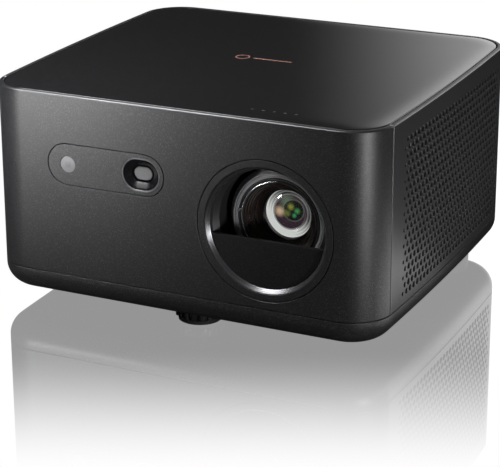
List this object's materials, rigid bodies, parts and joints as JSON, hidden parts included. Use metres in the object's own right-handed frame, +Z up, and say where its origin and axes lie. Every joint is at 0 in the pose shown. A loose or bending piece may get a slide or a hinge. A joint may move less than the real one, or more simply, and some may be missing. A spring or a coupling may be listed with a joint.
{
  "type": "home projector",
  "caption": "Compact LED home projector: rounded dark case, perforated sides, gloss top, recessed half-masked lens, sensor window and screw-out front foot.",
  "frame": {"origin": "on the floor under the middle of the body, at the underside of the feet", "axes": "+Z up, -Y the lens side, +X to the right when facing the lens side"},
  "size_m": [0.229, 0.2074, 0.125],
  "materials": {
    "cover_paint": "fine metallic fleck paint, satin",
    "side_paint": "smooth satin",
    "tray_paint": "fine fleck paint, satin",
    "top_gloss": "high gloss",
    "inlay_metal": "rose metallic inlay",
    "pip_lens": "small translucent pips",
    "mesh_black": "fine dark dust mesh",
    "steel": "plain zinc steel",
    "window_plastic": "smoked satin window",
    "eye_grey": "frosted infrared window",
    "gloss_black": "polished black",
    "camera_glass": "dark coated glass",
    "tunnel_black": "ribbed matt black",
    "mask_paint": "satin charcoal",
    "seal_rubber": "dull black",
    "barrel_metal": "anodised satin charcoal",
    "cell_black": "ribbed blackened metal",
    "lens_glass": "coated optical glass",
    "gear_plastic": "natural acetal",
    "motor_can": "drawn can",
    "cast_metal": "cast, bead blasted",
    "pcb_green": "solder-masked board",
    "copper": "drawn copper",
    "fin_metal": "mill finish fins",
    "fan_plastic": "moulded black",
    "box_plastic": "moulded black",
    "cone_paper": "pressed paper cone",
    "chip_black": "moulded epoxy",
    "io_black": "fine spark texture",
    "socket_steel": "plated shell",
    "button_plastic": "satin moulded",
    "foot_black": "moulded black with metal stud",
    "rubber": "soft rubber",
    "brass": "machined brass"
  },
  "bodies": {
    "root": {"front_cover": "cover_paint", "rear_cover": "cover_paint", "side_panel_right": "side_paint", "side_panel_left": "side_paint", "bottom_tray": "tray_paint", "top_deck": "box_plastic", "top_plate": "top_gloss", "top_inlay": "inlay_metal", "top_indicators": "pip_lens", "dust_meshes": "mesh_black", "case_screws": "steel", "sensor_window": "window_plastic", "ir_lens": "eye_grey", "camera_cone": "gloss_black", "camera_window": "camera_glass", "sensor_board": "pcb_green", "lens_trim_ring": "cover_paint", "lens_tunnel": "tunnel_black", "lens_mask": "mask_paint", "lens_shroud": "seal_rubber", "lens_barrel": "barrel_metal", "rear_lenses": "lens_glass", "focus_retainer": "steel", "focus_motor": "motor_can", "motor_bracket": "steel", "optical_engine": "cast_metal", "engine_lid": "cast_metal", "prism": "lens_glass", "mirror_chip_board": "pcb_green", "led_modules": "pcb_green", "heat_pipes": "copper", "cold_block": "copper", "fin_stack": "fin_metal", "heatsink_right": "fin_metal", "fan_frames": "fan_plastic", "speaker_boxes": "box_plastic", "speaker_drivers": "motor_can", "main_board": "pcb_green", "board_components": "chip_black", "driver_board": "pcb_green", "io_plate": "io_black", "video_sockets": "socket_steel", "usb_socket": "socket_steel", "audio_jack": "chip_black", "dc_inlet": "chip_black", "button_board": "pcb_green", "rear_feet": "rubber", "brass_inserts": "brass"},
    "focus_ring": {"focus_ring": "gear_plastic"},
    "focus_pinion": {"focus_pinion": "gear_plastic"},
    "lens_cell": {"lens_cell": "cell_black", "front_lens": "lens_glass"},
    "fan_right": {"fan_rotor_right": "fan_plastic"},
    "fan_left": {"fan_rotor_left": "fan_plastic"},
    "cone_right": {"speaker_cone_right": "cone_paper"},
    "cone_left": {"speaker_cone_left": "cone_paper"},
    "power_button": {"power_button": "button_plastic"},
    "foot_pad": {"foot_pad": "rubber"},
    "foot_screw": {"foot_screw": "foot_black"}
  },
  "joints": [
    {"name": "focus_turn", "type": "hinge", "parent": "root", "child": "focus_ring", "pos_m": [0.0518, -0.06675, 0.0665], "axis": [0, 1, 0], "range_deg": [-2, 112]},
    {"name": "pinion_turn", "type": "hinge", "parent": "root", "child": "focus_pinion", "pos_m": [0.01716, -0.06675, 0.0865], "axis": [0, 1, 0], "range_deg": [-560, 15]},
    {"name": "lens_focus", "type": "slide", "parent": "root", "child": "lens_cell", "axis": [0, -1, 0], "range_m": [0, 0.0024]},
    {"name": "fan_right_spin", "type": "hinge", "parent": "root", "child": "fan_right", "pos_m": [0.102, -0.004, 0.066], "axis": [1, 0, 0], "continuous": true},
    {"name": "fan_left_spin", "type": "hinge", "parent": "root", "child": "fan_left", "pos_m": [-0.102, -0.004, 0.066], "axis": [1, 0, 0], "continuous": true},
    {"name": "cone_right_stroke", "type": "slide", "parent": "root", "child": "cone_right", "axis": [1, 0, 0], "range_m": [-0.0004, 0.0004], "stiffness_N_per_m": 1200},
    {"name": "cone_left_stroke", "type": "slide", "parent": "root", "child": "cone_left", "axis": [-1, 0, 0], "range_m": [-0.0004, 0.0004], "stiffness_N_per_m": 1200},
    {"name": "power_press", "type": "slide", "parent": "root", "child": "power_button", "axis": [0, -1, 0], "range_m": [0, 0.0008], "stiffness_N_per_m": 600, "springref_m": -0.001},
    {"name": "foot_lift", "type": "slide", "parent": "root", "child": "foot_pad", "axis": [0, 0, -1], "range_m": [0, 0.01]},
    {"name": "foot_spin", "type": "hinge", "parent": "foot_pad", "child": "foot_screw", "pos_m": [0, -0.07375, 0.005], "axis": [0, 0, 1], "range_deg": [-10, 2420]}
  ],
  "couplings": [
    {"joint": "pinion_turn", "follows": "lens_focus", "rad_per_m": -3771.4},
    {"joint": "focus_turn", "follows": "lens_focus", "rad_per_m": 800},
    {"joint": "foot_spin", "follows": "foot_lift", "rad_per_m": 4188.8}
  ]
}
